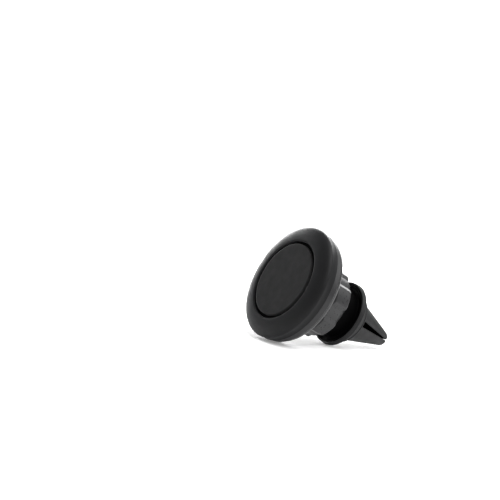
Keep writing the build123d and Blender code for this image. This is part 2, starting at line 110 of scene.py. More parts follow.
def radii(node, start, stop):
    """Every radius of a CAD node between two distances along the axis."""
    return [radius for s, radius in rings(node) if start - TOUCH <= s <= stop + TOUCH]


def reach(node, start=-inf, stop=inf):
    """Largest radius of a CAD node between two distances along the axis."""
    return max(radii(node, start, stop))


def bore(node, start=-inf, stop=inf):
    """Smallest radius of a CAD node between two distances along the axis."""
    return min(radii(node, start, stop))


def axis_point(s):
    """Point on the mount's axis, where the mount lies."""
    return lying @ Vector((0, 0, s))


# ==== sections ===================================================================================
ROUND_STEP = radians(12)    # turn between two points of a rounded corner
CORNER_SHARE = 0.98         # most of a straight run that one rounded corner takes up


def rounded(corners, step, closed=True):
    """Points along straight runs between corners. A corner is (s, radius) or (s, radius, rounding)."""
    count = len(corners)
    path = []
    for index, corner in enumerate(corners):
        here = Vector(corner[:2])
        rounding = corner[2] if len(corner) > 2 else 0.0
        ends_here = not closed and index in (0, count - 1)
        if rounding == 0 or ends_here:
            path.append(here)
            continue
        to_last = Vector(corners[index - 1][:2]) - here
        to_next = Vector(corners[(index + 1) % count][:2]) - here
        room = min(to_last.length, to_next.length)
        to_last.normalize()
        to_next.normalize()
        half = to_last.angle(to_next) / 2
        cut = min(rounding / tan(half), CORNER_SHARE * room)
        rounding = cut * tan(half)
        centre = here + (to_last + to_next).normalized() * rounding / sin(half)
        first = here + to_last * cut - centre
        swing = pi - 2 * half
        if first.x * to_next.y - first.y * to_next.x < 0:
            swing = -swing
        stops = max(2, ceil(abs(swing) / ROUND_STEP))
        for stop in range(stops + 1):
            angle = atan2(first.y, first.x) + swing * stop / stops
            path.append(centre + Vector((cos(angle), sin(angle))) * rounding)
    return with_stops(path, step, closed)


def with_stops(path, step, closed):
    """The same path with extra points wherever two are further apart than one step."""
    ends = path[1:] + path[:1] if closed else path[1:]
    filled = []
    for here, there in zip(path, ends):
        pieces = max(1, ceil((there - here).length / step))
        filled += [here.lerp(there, piece / pieces) for piece in range(pieces)]
    if closed:
        return filled + [path[0]]
    return filled + [path[-1]]


def arc(centre, wide, high, start, stop, steps=24):
    """Points along an ellipse with these half axes, between two angles in degrees."""
    angles = [radians(start + (stop - start) * step / steps) for step in range(steps + 1)]
    return [(centre[0] + wide * cos(angle), centre[1] + high * sin(angle)) for angle in angles]


def bow(start, stop, rise, steps=8):
    """Points of a shallow curve that stands out from the straight run between its ends by a rise."""
    shares = [step / steps for step in range(steps + 1)]
    return [
        (
            start[0] + (stop[0] - start[0]) * share,
            start[1] + (stop[1] - start[1]) * share + 4 * rise * share * (1 - share),
        )
        for share in shares
    ]


def run(start, stop, steps):
    """Points on the straight run between two ends, without the ends."""
    return bow(start, stop, 0.0, steps)[1:-1]


# ==== node wiring ================================================================================
def feed(socket, value):
    """Gives a node's input a value, or links it to another node's output."""
    value = getattr(value, "socket", value)
    if isinstance(value, bpy.types.NodeSocket):
        socket.id_data.links.new(value, socket)
    else:
        socket.default_value = value


def add(tree, kind, inputs=None, **settings):
    """New node in a tree. Each input, by name or number, is a value or another node's output."""
    node = tree.nodes.new(kind)
    for name, value in settings.items():
        setattr(node, name, value)
    for key, value in (inputs or {}).items():
        feed(node.inputs[key], value)
    return node


class Number:
    """Number in a node tree. Reckoning with it adds math nodes to its tree."""

    def __init__(self, socket):
        self.socket = socket

    def through(self, operation, *values):
        """Result of a new math node on these values."""
        inputs = dict(enumerate(values))
        node = add(self.socket.id_data, "ShaderNodeMath", inputs, operation=operation)
        return Number(node.outputs[0])

    def math(self, operation, *others):
        """Result of a new math node on this number and others."""
        return self.through(operation, self, *others)

    def __add__(self, other):
        return self.math("ADD", other)

    def __sub__(self, other):
        return self.math("SUBTRACT", other)

    def __rsub__(self, other):
        return self.through("SUBTRACT", other, self)

    def __mul__(self, other):
        return self.math("MULTIPLY", other)

    def __truediv__(self, other):
        return self.math("DIVIDE", other)

    def __rtruediv__(self, other):
        return self.through("DIVIDE", other, self)

    def __abs__(self):
        return self.math("ABSOLUTE")


def rise_over(tree, value, start, stop, low=0.0, high=1.0, kind="LINEAR"):
    """low at start and high at stop, held outside them."""
    inputs = {"Value": value, "From Min": start, "From Max": stop, "To Min": low, "To Max": high}
    node = add(tree, "ShaderNodeMapRange", inputs, interpolation_type=kind, clamp=True)
    return Number(node.outputs["Result"])


def parts_of(tree, vector):
    """The three numbers in a vector."""
    return [Number(part) for part in add(tree, "ShaderNodeSeparateXYZ", {0: vector}).outputs]


def vector_of(tree, x, y, z):
    """Vector of three numbers."""
    return add(tree, "ShaderNodeCombineXYZ", {0: x, 1: y, 2: z}).outputs[0]


def position_in(tree):
    """Position of each point."""
    return add(tree, "GeometryNodeInputPosition").outputs[0]


def new_tree(name, inputs):
    """Geometry tree with named inputs, as (tree, its inputs by name, its result)."""
    tree = bpy.data.node_groups.new(name, "GeometryNodeTree")
    tree.interface.new_socket("Geometry", in_out="INPUT", socket_type="NodeSocketGeometry")
    for label, kind, value in inputs:
        socket = tree.interface.new_socket(label, in_out="INPUT", socket_type=f"NodeSocket{kind}")
        socket.default_value = value
    tree.interface.new_socket("Geometry", in_out="OUTPUT", socket_type="NodeSocketGeometry")
    inlet = {socket.name: Number(socket) for socket in tree.nodes.new("NodeGroupInput").outputs}
    outlet = tree.nodes.new("NodeGroupOutput").inputs[0]
    return tree, inlet, outlet


def polar(tree):
    """(x, y, s, radius, angle) of each point."""
    x, y, s = parts_of(tree, position_in(tree))
    radius = (x.math("POWER", 2.0) + y.math("POWER", 2.0)).math("SQRT")
    return x, y, s, radius, y.math("ARCTAN2", x)


def pull_in(tree, geometry, x, y, radius, amount):
    """Moves each point towards the axis by an amount."""
    back = amount / radius.math("MAXIMUM", WELD) * -1.0
    inputs = {"Geometry": geometry, "Offset": vector_of(tree, x * back, y * back, 0.0)}
    return add(tree, "GeometryNodeSetPosition", inputs).outputs[0]


# ==== geometry trees =============================================================================
THREAD_FLANK = (0.12, 0.38)     # where a thread's flank starts and ends, in pitches from its crest
LEAST_SINE = 0.01               # keeps a division by the sine of a small angle finite


def turning_step():
    """Turns a section, drawn as a line of points at (s, radius), into a round body."""
    tree, inlet, outlet = new_tree("Turn Section", [("Segments", "Int", 192)])
    line = {0: inlet["Geometry"]}
    count = Number(add(tree, "GeometryNodeAttributeDomainSize", line).outputs["Point Count"])
    size = {"Size X": 1.0, "Size Y": 1.0, "Vertices X": inlet["Segments"] + 1, "Vertices Y": count}
    grid = add(tree, "GeometryNodeMeshGrid", size).outputs["Mesh"]
    position = position_in(tree)
    across, along, _ = parts_of(tree, position)
    index = ((along + 0.5) * (count - 1)).math("ROUND")
    sampled = {"Geometry": inlet["Geometry"], "Value": position, "Index": index}
    point = add(tree, "GeometryNodeSampleIndex", sampled, data_type="FLOAT_VECTOR").outputs[0]
    s, radius, _ = parts_of(tree, point)
    around = (across + 0.5) * tau
    place = vector_of(tree, radius * around.math("COSINE"), radius * around.math("SINE"), s)
    body = add(tree, "GeometryNodeSetPosition", {"Geometry": grid, "Position": place}).outputs[0]
    welded = add(tree, "GeometryNodeMergeByDistance", {"Geometry": body, "Distance": WELD}).outputs[0]
    feed(outlet, add(tree, "GeometryNodeSetShadeSmooth", {0: welded}).outputs[0])
    return tree


def ribbing_step():
    """Trims the outside of a turned body to evenly spaced grip ribs with sloping flanks."""
    inputs = [
        ("Ribs", "Int", 6),
        ("First Rib", "Float", 0.0),
        ("Rib Radius", "Float", 10 * MM),
        ("Rib Height", "Float", 0.9 * MM),
        ("Rib Top", "Float", radians(24)),
        ("Rib Foot", "Float", radians(40)),
        ("Rib Edge", "Float", 0.3 * MM),
    ]
    tree, inlet, outlet = new_tree("Grip Ribs", inputs)
    x, y, s, radius, angle = polar(tree)
    pitch = tau / inlet["Ribs"]
    turns = (angle - inlet["First Rib"]) / pitch
    off_middle = abs((turns + 0.5).math("FRACT") - 0.5) * pitch
    flank = rise_over(tree, off_middle, inlet["Rib Top"] * 0.5, inlet["Rib Foot"] * 0.5)
    over = radius - inlet["Rib Radius"] + flank * inlet["Rib Height"]
    amount = over.math("SMOOTH_MAX", 0.0, inlet["Rib Edge"])
    feed(outlet, pull_in(tree, inlet["Geometry"], x, y, radius, amount))
    return tree


def threading_step():
    """Cuts a rounded screw thread into the outside of a turned body."""
    inputs = [
        ("Thread Pitch", "Float", 1.5 * MM),
        ("Thread Depth", "Float", 0.4 * MM),
        ("Thread Start", "Float", 0.0),
        ("Thread Stop", "Float", MM),
        ("Thread Core", "Float", 0.0),
    ]
    tree, inlet, outlet = new_tree("Screw Thread", inputs)
    x, y, s, radius, angle = polar(tree)
    phase = s / inlet["Thread Pitch"] - angle / tau
    beside = abs(phase.math("FRACT") - 0.5)
    groove = rise_over(tree, beside, *THREAD_FLANK, kind="SMOOTHSTEP")
    half_pitch = inlet["Thread Pitch"] * 0.5
    start, stop = inlet["Thread Start"], inlet["Thread Stop"]
    share = rise_over(tree, s, start, start + half_pitch) * rise_over(tree, s, stop, stop - half_pitch)
    outside = radius.math("GREATER_THAN", inlet["Thread Core"])
    amount = groove * (share * outside) * inlet["Thread Depth"]
    feed(outlet, pull_in(tree, inlet["Geometry"], x, y, radius, amount))
    return tree


def recess_step():
    """Draws the round socket in a screw's cap in to a cross with four arms."""
    inputs = [
        ("Socket Radius", "Float", MM),
        ("Socket Arm", "Float", 0.3),
        ("Socket Face", "Float", 0.0),
        ("Socket Depth", "Float", MM),
    ]
    tree, inlet, outlet = new_tree("Cross Recess", inputs)
    x, y, s, radius, angle = polar(tree)
    quarters = angle / (pi / 2) + 0.5
    folded = abs(quarters.math("FRACT") - 0.5) * (pi / 2)
    arm_end = 1.0 / folded.math("COSINE")
    arm_side = inlet["Socket Arm"] / folded.math("SINE").math("MAXIMUM", LEAST_SINE)
    cross = arm_end.math("MINIMUM", arm_side)
    inside = radius.math("LESS_THAN", inlet["Socket Radius"] + TOUCH)
    at_cap = abs(s - inlet["Socket Face"]).math("LESS_THAN", inlet["Socket Depth"])
    amount = inside * at_cap * (1.0 - cross) * radius
    feed(outlet, pull_in(tree, inlet["Geometry"], x, y, radius, amount))
    return tree


def copying_step():
    """Sets copies of a body on a circle round the axis."""
    inputs = [("Copies", "Int", 1), ("First Copy", "Float", 0.0), ("Copy Circle", "Float", 0.0)]
    tree, inlet, outlet = new_tree("Ring Of Copies", inputs)
    out = {"Geometry": inlet["Geometry"], "Translation": vector_of(tree, inlet["Copy Circle"], 0.0, 0.0)}
    moved = add(tree, "GeometryNodeTransform", out).outputs[0]
    points = add(tree, "GeometryNodePoints", {"Count": inlet["Copies"]}).outputs[0]
    index = Number(add(tree, "GeometryNodeInputIndex").outputs[0])
    around = index * (tau / inlet["Copies"]) + inlet["First Copy"]
    placed = {"Points": points, "Instance": moved, "Rotation": vector_of(tree, 0.0, 0.0, around)}
    feed(outlet, add(tree, "GeometryNodeInstanceOnPoints", placed).outputs[0])
    return tree


STEPS = {
    "Turn": turning_step,
    "Ribs": ribbing_step,
    "Thread": threading_step,
    "Recess": recess_step,
    "Copies": copying_step,
}


def tree_of(*steps):
    """Tree that runs these steps in order, with all their inputs, and ends in a finished mesh."""
    name = "Phone Mount " + " ".join(steps)
    if name in bpy.data.node_groups:
        return bpy.data.node_groups[name]
    groups = [bpy.data.node_groups.get(f"Step {step}") or STEPS[step]() for step in steps]
    tree = bpy.data.node_groups.new(name, "GeometryNodeTree")
    tree.is_modifier = True
    tree.interface.new_socket("Geometry", in_out="INPUT", socket_type="NodeSocketGeometry")
    inlet = tree.nodes.new("NodeGroupInput")
    geometry = inlet.outputs["Geometry"]
    for step, group in zip(steps, groups):
        group.name = f"Step {step}"
        node = add(tree, "GeometryNodeGroup", node_tree=group)
        feed(node.inputs["Geometry"], geometry)
        for item in inputs_of(group)[1:]:
            socket = tree.interface.new_socket(item.name, in_out="INPUT", socket_type=item.socket_type)
            socket.default_value = item.default_value
            feed(node.inputs[item.name], inlet.outputs[item.name])
        geometry = node.outputs["Geometry"]
    tree.interface.new_socket("Finish", in_out="INPUT", socket_type="NodeSocketMaterial")
    tree.interface.new_socket("Geometry", in_out="OUTPUT", socket_type="NodeSocketGeometry")
    real = add(tree, "GeometryNodeRealizeInstances", {"Geometry": geometry}).outputs[0]
    coated = {"Geometry": real, "Material": inlet.outputs["Finish"]}
    add(tree, "NodeGroupOutput", {0: add(tree, "GeometryNodeSetMaterial", coated).outputs[0]})
    return tree


def inputs_of(tree):
    """The input sockets of a tree's interface, in order."""
    sockets = [item for item in tree.interface.items_tree if item.item_type == "SOCKET"]
    return [socket for socket in sockets if socket.in_out == "INPUT"]


# ==== meshes =====================================================================================
def new_piece(name, points, edges=(), faces=()):
    """Object with a mesh of these points, in the scene."""
    mesh = bpy.data.meshes.new(name)
    mesh.from_pydata(points, edges, faces)
    piece = bpy.data.objects.new(name, mesh)
    bpy.context.scene.collection.objects.link(piece)
    return piece


def made_sound(mesh):
    """Closes the seams of a mesh, turns its faces outwards and shades it smooth."""
    work = bmesh.new()
    work.from_mesh(mesh)
    bmesh.ops.remove_doubles(work, verts=work.verts, dist=WELD)
    bmesh.ops.dissolve_degenerate(work, edges=work.edges, dist=WELD / 10)
    bmesh.ops.recalc_face_normals(work, faces=work.faces)
    open_edges = [edge for edge in work.edges if not edge.is_manifold]
    if open_edges:
        raise RuntimeError(f"{mesh.name} has {len(open_edges)} edges that don't close")
    work.to_mesh(mesh)
    work.free()
    mesh.shade_smooth()


def grown(name, section, body, slot, *nodes, steps=("Turn",), values=None):
    """Makes a section into a closed piece by a tree of steps, on its body in place of its CAD nodes."""
    points = [(s, radius, 0) for s, radius in section]
    piece = new_piece(name, points, [(index, index + 1) for index in range(len(points) - 1)])
    modifier = piece.modifiers.new("Steps", "NODES")
    modifier.node_group = tree_of(*steps)
    sockets = {item.name: item.identifier for item in inputs_of(modifier.node_group)}
    for label, value in {"Finish": finish_of(slot), **(values or {})}.items():
        modifier[sockets[label]] = value
    graph = bpy.context.evaluated_depsgraph_get()
    mesh = bpy.data.meshes.new_from_object(piece.evaluated_get(graph))
    piece.modifiers.clear()
    line, piece.data = piece.data, mesh
    bpy.data.meshes.remove(line)
    mesh.name = name
    mesh.transform(lying)
    made_sound(mesh)
    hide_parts(*nodes)
    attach(piece, body)


def skinned(name, outlines, place, finish):
    """Piece made from outlines with as many points each, joined in order and closed at both ends."""
    size = len(outlines[0][1])
    points = [place @ Vector((*point, s)) for s, outline in outlines for point in outline]
    faces = [tuple(range(size)), tuple(range(len(points) - size, len(points)))]
    for first in range(0, len(points) - size, size):
        for side in range(size):
            after = (side + 1) % size
            faces.append((first + side, first + after, first + size + after, first + size + side))
    piece = new_piece(name, points, faces=faces)
    made_sound(piece.data)
    piece.data.materials.append(finish)
    return piece


# ==== finishes ===================================================================================
class Finish(NamedTuple):
    """Look of a surface. A pattern is (size of its features in millimetres, detail, weight)."""

    name: str
    colour: str                 # its setting among the colours
    specular: float
    roughness: tuple            # least and most, or one value all over
    shine: tuple                # pattern that the roughness follows
    spread: float               # share by which the colour wanders
    patches: tuple              # pattern that the colour follows
    depth: float                # height of the grain in millimetres
    grain: list                 # patterns that add up to the grain
    pebbles: float = 0.0        # size of rounded cells that join the grain, in millimetres
    stretch: float = 1.0        # scale of grain and shine along Y
    sockets: dict = {}          # the shader's other values


FINISHES = {
    # fine pebbled rubber of the pad that the phone sits on
    "pad_rubber": Finish(
        "pad rubber", "pad", specular=0.14,
        roughness=(0.62, 0.76), shine=(3,),
        spread=0.14, patches=(9, 3),
        depth=0.012, grain=[(0.1, 2, 0.6)], pebbles=0.22,
    ),
    # velvety coating of the cover, with a faint sheen at its edges
    "cover_rubber": Finish(
        "soft touch", "cover", specular=0.16,
        roughness=(0.45, 0.56), shine=(4, 4),
        spread=0.1, patches=(6,),
        depth=0.006, grain=[(0.12, 3)],
        sockets={"Sheen Weight": 0.04, "Sheen Roughness": 0.45, "Sheen Tint": (0.86, 0.93, 1.0, 1)},
    ),
    # fine satin plastic of the bezel ring and the rear shell
    "grey_trim": Finish(
        "satin trim", "trim", specular=0.35,
        roughness=(0.3, 0.4), shine=(1.5,),
        spread=0.1, patches=(2.5,),
        depth=0.004, grain=[(0.09, 3)],
    ),
    # smooth graphite plastic of the lock nut, sparked very finely by its mould
    "grey_plastic": Finish(
        "nut plastic", "nut", specular=0.4,
        roughness=(0.26, 0.38), shine=(0.8,),
        spread=0.12, patches=(1.2, 3),
        depth=0.005, grain=[(0.16, 3)], pebbles=0.3,
        sockets={"Coat Weight": 0.06, "Coat Roughness": 0.25},
    ),
    # deep black moulded plastic with a dull face, darker and duller than the plastic itself: painted shade in the
    # dish and barrel behind the nut
    "black_plastic": Finish(
        "black plastic", "black", specular=0.02,
        roughness=(0.42, 0.58), shine=(2,),
        spread=0.2, patches=(3,),
        depth=0.008, grain=[(0.18, 3)],
    ),
    # dead black sheet without shine on the slot walls between the prongs: painted shade deep in the slots
    "slot_lining": Finish(
        "slot lining", "black", specular=0.0,
        roughness=(0.9,), shine=(),
        spread=0.2, patches=(2,),
        depth=0.01, grain=[(0.15, 3)],
    ),
    # satin grey silicone of the rim and the prongs, with a little dust in its skin
    "grey_rubber": Finish(
        "silicone", "silicone", specular=0.17,
        roughness=(0.4, 0.52), shine=(2,),
        spread=0.12, patches=(0.35, 4),
        depth=0.006, grain=[(0.35, 4), (0.1,)],
    ),
    # blasted alloy of the ball stud
    "stud_metal": Finish(
        "blasted alloy", "stud", specular=0.5,
        roughness=(0.35, 0.48), shine=(0.5,),
        spread=0.08, patches=(0.6,),
        depth=0.004, grain=[(0.08, 4)],
        sockets={"Metallic": 1.0},
    ),
    # zinc-plated steel, drawn lengthwise
    "steel": Finish(
        "plated steel", "steel", specular=0.5,
        roughness=(0.24, 0.36), shine=(0.15, 3),
        spread=0.1, patches=(1.5,),
        depth=0.003, grain=[(0.15, 3)], stretch=0.12,
        sockets={"Metallic": 1.0},
    ),
    # bright nickel of the magnets
    "magnet_plate": Finish(
        "nickel", "nickel", specular=0.5,
        roughness=(0.12, 0.24), shine=(1.5,),
        spread=0.05, patches=(2,),
        depth=0.002, grain=[(0.5,)],
        sockets={"Metallic": 1.0},
    ),
    # waxy bearing plastic of the ball seat
    "seat_plastic": Finish(
        "seat plastic", "seat", specular=0.45,
        roughness=(0.34, 0.44), shine=(1,),
        spread=0.05, patches=(2,),
        depth=0.004, grain=[(0.3,)],
        sockets={"Subsurface Weight": 0.1, "Subsurface Radius": (MM, MM, MM)},
    ),
    # white sheet under the mount, glowing faintly
    "floor": Finish(
        "paper", "floor", specular=0.05,
        roughness=(0.9,), shine=(),
        spread=0.004, patches=(120,),
        depth=0.01, grain=[(0.4, 3)],
        sockets={"Emission Color": (1, 1, 1, 1), "Emission Strength": 0.2},
    ),
}


GLOSS_SWING = (0.3, 0.7)    # part of a noise's range over which the gloss wanders
NOISE_ROUGHNESS = 0.55      # share that each finer layer of a noise keeps


def noise(tree, place, size, detail=2, weight=1):
    """Soft noise between 0 and its weight, with features of this size in millimetres."""
    inputs = {"Vector": place, "Scale": 1 / (size * MM), "Detail": detail, "Roughness": NOISE_ROUGHNESS}
    fac = Number(add(tree, "ShaderNodeTexNoise", inputs).outputs["Fac"])
    return fac if weight == 1 else fac * weight


def mottle(tree, shader, colour, fac, spread):
    """Varies the colour either side of its own value by a share."""
    darker = (*(channel * (1 - spread) for channel in colour), 1)
    lighter = (*(channel * (1 + spread) for channel in colour), 1)
    # inputs 6 and 7 and output 2 are the colours of this node
    mixed = add(tree, "ShaderNodeMix", {"Factor": fac, 6: darker, 7: lighter}, data_type="RGBA")
    feed(shader["Base Color"], mixed.outputs[2])


def grain(tree, shader, heights, depth):
    """Raises the surface by the sum of some height patterns."""
    inputs = {"Height": reduce(Number.__add__, heights), "Distance": depth, "Strength": 1.0}
    feed(shader["Normal"], add(tree, "ShaderNodeBump", inputs).outputs[0])


def new_material(finish, colour):
    """Material of a finish: a plain surface shader whose colour, gloss and grain vary a little."""
    material = bpy.data.materials.new(finish.name)
    material.diffuse_color = (*colour, 1)
    material.use_nodes = True
    tree = material.node_tree
    shader = tree.nodes["Principled BSDF"].inputs
    shader["Base Color"].default_value = (*colour, 1)
    shader["Roughness"].default_value = finish.roughness[0]
    shader["Specular IOR Level"].default_value = finish.specular
    for label, value in finish.sockets.items():
        shader[label].default_value = value
    place = add(tree, "ShaderNodeTexCoord").outputs["Object"]
    mottle(tree, shader, colour, noise(tree, place, *finish.patches), finish.spread)
    if finish.stretch != 1:
        drawn = {"Vector": place, "Scale": (1, finish.stretch, 1)}
        place = add(tree, "ShaderNodeMapping", drawn).outputs[0]
    if finish.shine:
        wander = noise(tree, place, *finish.shine)
        feed(shader["Roughness"], rise_over(tree, wander, *GLOSS_SWING, *finish.roughness))
    heights = [noise(tree, place, *pattern) for pattern in finish.grain]
    if finish.pebbles:
        cells = {"Vector": place, "Scale": 1 / (finish.pebbles * MM)}
        heights.append(Number(add(tree, "ShaderNodeTexVoronoi", cells).outputs["Distance"]))
    grain(tree, shader, heights, finish.depth * MM)
    return material


def finish_of(slot):
    """Material for a slot, made once."""
    finish = FINISHES[slot]
    colour = getattr(bpy.context.scene.phone_mount_colours, finish.colour)
    return bpy.data.materials.get(finish.name) or new_material(finish, colour)


# ==== settings ===================================================================================
def length(name, description, value):
    """Setting that holds a length, its default in metres."""
    return FloatProperty(
        name=name, description=description, default=value, min=0.0, unit="LENGTH", precision=5
    )


def turn(name, description, value):
    """Setting that holds an angle, its default in degrees."""
    return FloatProperty(name=name, description=description, default=radians(value), unit="ROTATION")


def number(name, description, value):
    """Setting that holds a plain number."""
    return FloatProperty(name=name, description=description, default=value, min=0.0)


def shade(name, description, red, green, blue):
    """Setting that holds a colour."""
    return FloatVectorProperty(
        name=name, description=description, subtype="COLOR", default=(red, green, blue), min=0.0, max=1.0
    )


class PhoneMountHead(bpy.types.PropertyGroup):
    """Sizes of the magnet head."""

    screw_count: IntProperty(name="Screws", description="Screws behind the magnets", default=3, min=1)
    pad_edge: length("Pad Edge", "Rounding of the pad's front edge", 0.1 * MM)
    pad_inset: length("Pad Inset", "How far the rubber pad and its groove are drawn in", 0.45 * MM)
    cover_edge: length("Cover Edge", "Rounding where the cover meets the groove round the pad", 0.1 * MM)
    cover_front: length("Cover Front", "Thickness of the cover beside the pad", 1.0 * MM)
    cover_waist: length("Cover Waist", "How far the cover's side draws in", 0.2 * MM)
    cover_lip: length("Cover Lip", "Rounding of the cover's rear edge", 0.25 * MM)
    bezel_edge: length("Bezel Edge", "Rounding of the bezel ring's outer edges", 0.25 * MM)
    bezel_taper: length("Bezel Taper", "How much slimmer the bezel ring is at its rear", 0.3 * MM)
    shell_wall: length("Shell Wall", "Thickness of the rear shell", 1.4 * MM)
    spigot_wall: length("Spigot Wall", "Thickness of the shell's spigot inside the bezel ring", 1.2 * MM)
    dome_depth: length("Dome Depth", "How far the rear shell domes back", 2.25 * MM)
    recess_edge: length("Recess Edge", "Rounding round the mouth of the rear recess", 0.3 * MM)
    shoulder_edge: length("Shoulder Edge", "Rounding of the ball stud's shoulder", 0.2 * MM)
    neck_fillet: length("Neck Fillet", "Rounding at both ends of the ball stud's neck", 0.5 * MM)


class PhoneMountClip(bpy.types.PropertyGroup):
    """Sizes of the lock nut, the clip's base and the prongs."""

    rib_count: IntProperty(name="Ribs", description="Grip ribs round the lock nut", default=6, min=2)
    rib_height: length("Rib Height", "How far the ribs stand out", 0.75 * MM)
    rib_top: turn("Rib Top", "Width of a rib's top as an angle", 26)
    rib_foot: turn("Rib Foot", "Width of a rib's foot as an angle", 41)
    rib_roll: turn("Rib Roll", "First rib, from straight up", 14)
    rib_edge: length("Rib Edge", "Rounding of the ribs' edges", 0.25 * MM)
    nut_bevel: length("Nut Bevel", "Bevel at the front of the lock nut", 1.1 * MM)
    nut_round: length("Nut Round", "Rounding at the rear of the lock nut", 0.7 * MM)
    nut_lip: length("Nut Lip", "Thickness of the lip that the nut pulls on", 1.1 * MM)
    edge: length("Edge", "Small rounding of other edges", 0.2 * MM)
    thread_pitch: length("Thread Pitch", "Rise of the thread in one turn", 1.5 * MM)
    thread_depth: length("Thread Depth", "Depth of the thread on the barrel", 0.45 * MM)
    thread_bare: length("Thread Bare", "Thread left behind the tight nut", 0.9 * MM)
    dish_edge: length("Dish Edge", "Flat rim round the dished flange", 0.5 * MM)
    dish_depth: length("Dish Depth", "Depth of the dish in the flange's front", 0.5 * MM)
    rim_round: length("Rim Round", "Rounding of the silicone rim's edges", 0.3 * MM)
    rim_taper: length("Rim Taper", "How much slimmer the rim is at its rear", 0.1 * MM)
    collar_taper: length("Collar Taper", "How much slimmer the collar is at its rear end", 1.5 * MM)
    flare_length: length("Flare Length", "Length over which the rim draws in to the collar", 1.8 * MM)
    flare_draw: length("Flare Draw", "How far that flare is hollowed", 0.55 * MM)
    bead_length: length("Bead Length", "Length of the bead round the collar's rear edge", 0.7 * MM)
    bead_height: length("Bead Height", "How far the bead stands out", 0.25 * MM)
    prong_roll: turn("Prong Roll", "First prong, from straight up", 45.5)
    prong_corner: length("Prong Corner", "Rounding of the prongs' long edges", 0.45 * MM)
    tip_round: length("Tip Round", "Rounding of the prong tips", 1.1 * MM)
    slot_start: length("Slot Start", "From the collar's rear end to the start of the slots", 0.1 * MM)
    slot_round: length("Slot Round", "Length over which the slots open to their full width", 0.9 * MM)
    slot_root: length("Slot Root", "Width of the slots at their root", 2.2 * MM)
    bend_length: length("Bend Length", "Length over which a pressed prong bends at its root", 3.0 * MM)
    slot_tip: length("Slot Tip", "Width of the slots at the prong tips", 0.3 * MM)
    # the slots' black lining is a painted shade sheet, set just off the slot walls
    lining_proud: length("Lining Proud", "How far the slots' black lining stands off the walls", 0.03 * MM)
    lining_depth: length("Lining Depth", "How deep the lining sits in the prongs", 0.35 * MM)
    screw_pitch: length("Screw Pitch", "Rise of the small screws' thread in one turn", 0.6 * MM)


class PhoneMountColours(bpy.types.PropertyGroup):
    """Colours of the finishes."""

    pad: shade("Pad", "Rubber pad", 0.016, 0.016, 0.0165)
    cover: shade("Cover", "Soft-touch cover", 0.0065, 0.0065, 0.007)
    trim: shade("Trim", "Bezel ring and rear shell", 0.019, 0.019, 0.02)
    nut: shade("Nut", "Lock nut", 0.022, 0.022, 0.023)
    # this black is darker than the real plastic: painted shade in the dish, the barrel and the slots
    black: shade("Black", "Tray, clamp ring, clip base, hub and slots", 0.001, 0.001, 0.0011)
    silicone: shade("Silicone", "Rim and prongs", 0.0145, 0.0145, 0.015)
    stud: shade("Stud", "Ball stud", 0.3, 0.3, 0.31)
    steel: shade("Steel", "Screws, washer and plates", 0.5, 0.5, 0.5)
    nickel: shade("Nickel", "Magnets", 0.62, 0.61, 0.58)
    seat: shade("Seat", "Ball seat", 0.75, 0.74, 0.7)
    floor: shade("Floor", "Sheet under the mount", 0.9, 0.9, 0.9)


class PhoneMountStage(bpy.types.PropertyGroup):
    """Light and camera."""

    azimuth: turn("Azimuth", "Where the camera stands: 0 looks along +Y", 58.106)
    elevation: turn("Elevation", "How far the camera looks down", 3.0)
    roll: turn("Roll", "How far the camera leans", 9.088)
    distance: length("Distance", "From the camera to the phone face", 350 * MM)
    sideways: length("Sideways", "How far right of the picture's middle the phone face is", 11.83 * MM)
    downwards: length("Downwards", "How far below the picture's middle the phone face is", 10.3 * MM)
    lens: number("Lens", "Focal length in millimetres, on a sensor 36 mm wide", 70.3)
    backdrop: number("Backdrop", "Brightness of the backdrop", 1.15)
    ambient: number("Ambient", "Strength of the light from every side", 0.4)
    skylight: number("Skylight", "Strength of the broad light", 2.7)
    skylight_width: turn("Skylight Width", "How wide the broad light spreads", 80)
    skylight_azimuth: turn("Skylight Azimuth", "Where the broad light stands: 0 is towards -Y", 120)
    skylight_elevation: turn("Skylight Elevation", "Height of the broad light", 58)


# ==== pieces: the head ===========================================================================
class PieceOperator(bpy.types.Operator):
    """Makes one piece of the phone mount."""

    bl_options = {"REGISTER", "UNDO"}

    def execute(self, context):
        self.make(context.scene.phone_mount_head, context.scene.phone_mount_clip)
        return {"FINISHED"}


class MakeFacePad(PieceOperator):
    """Makes the flat rubber pad that the phone sits on."""

    bl_idname = "phone_mount.face_pad"
    bl_label = "Face Pad"

    def make(self, head, clip):
        front, rear = span("face_pad")
        radius = reach("face_pad") - head.pad_inset
        corners = [(front, 0), (front, radius, head.pad_edge), (rear, radius), (rear, 0)]
        section = rounded(corners, step=0.4 * MM, closed=False)
        grown("pad", section, "head", "pad_rubber", "face_pad")


class MakeSoftCover(PieceOperator):
    """Makes the soft cover with its round crown."""

    bl_idname = "phone_mount.soft_cover"
    bl_label = "Soft Cover"

    def make(self, head, clip):
        front, rear = span("soft_cover")
        widest = reach("soft_cover")
        crown = span("soft_cover", inner=widest)[0]
        mouth = reach("soft_cover", front, front) - head.pad_inset
        lip = reach("soft_cover", rear, rear)
        inside = bore("soft_cover", rear, rear)
        outer = arc((crown, mouth), crown - front, widest - mouth, 180, 90)
        side = bow((crown, widest), (rear, lip), -head.cover_waist)
        corners = [
            (*outer[0], head.cover_edge),
            *outer[1:],
            *side[1:-1],
            (*side[-1], head.cover_lip),
            (rear, inside),
            *arc((crown, mouth), crown - head.cover_front, inside - mouth, 90, 180),
        ]
        grown("cover", rounded(corners, step=0.4 * MM), "head", "cover_rubber", "soft_cover")


